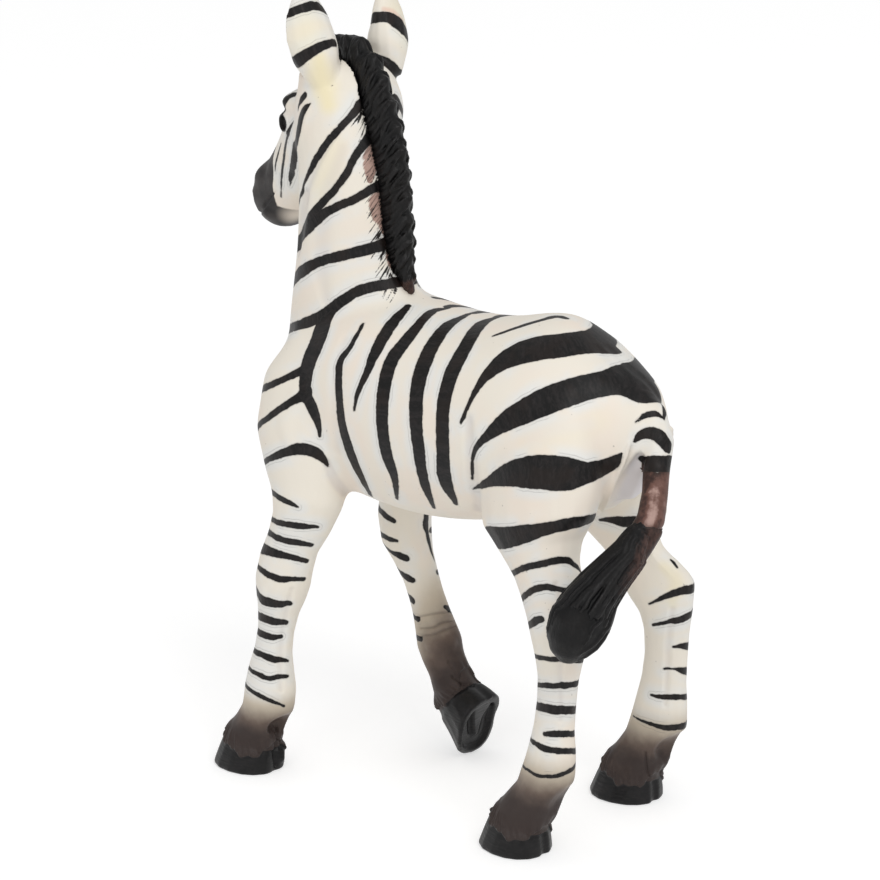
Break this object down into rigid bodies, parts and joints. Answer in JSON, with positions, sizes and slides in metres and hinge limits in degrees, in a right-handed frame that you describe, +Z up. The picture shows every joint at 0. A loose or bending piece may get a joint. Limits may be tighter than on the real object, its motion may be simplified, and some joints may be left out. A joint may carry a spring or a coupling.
{
  "type": "toy zebra figure",
  "caption": "Solid moulded, hand-painted walking zebra figure standing on three hooves with one foreleg lifted.",
  "frame": {"origin": "on the ground, under the middle of the figure's bounding box", "axes": "+X forwards to the head, +Y to the animal's left, +Z up"},
  "size_m": [0.0838, 0.038, 0.1125],
  "materials": {
    "coat": "cream vinyl with hand-painted black stripes and brown shaded lower legs",
    "hair": "black paint over moulded strands",
    "hoof": "semi-gloss black paint",
    "eye": "glossy black paint"
  },
  "bodies": {
    "root": {"trunk": "coat", "neck": "coat", "head": "coat", "left_ear": "coat", "right_ear": "coat", "left_foreleg": "coat", "right_foreleg": "coat", "left_hind_leg": "coat", "right_hind_leg": "coat", "tail_dock": "coat", "mane": "hair", "tail_tuft": "hair", "left_fore_hoof": "hoof", "right_fore_hoof": "hoof", "left_hind_hoof": "hoof", "right_hind_hoof": "hoof", "left_eye": "eye", "right_eye": "eye"}
  },
  "joints": []
}
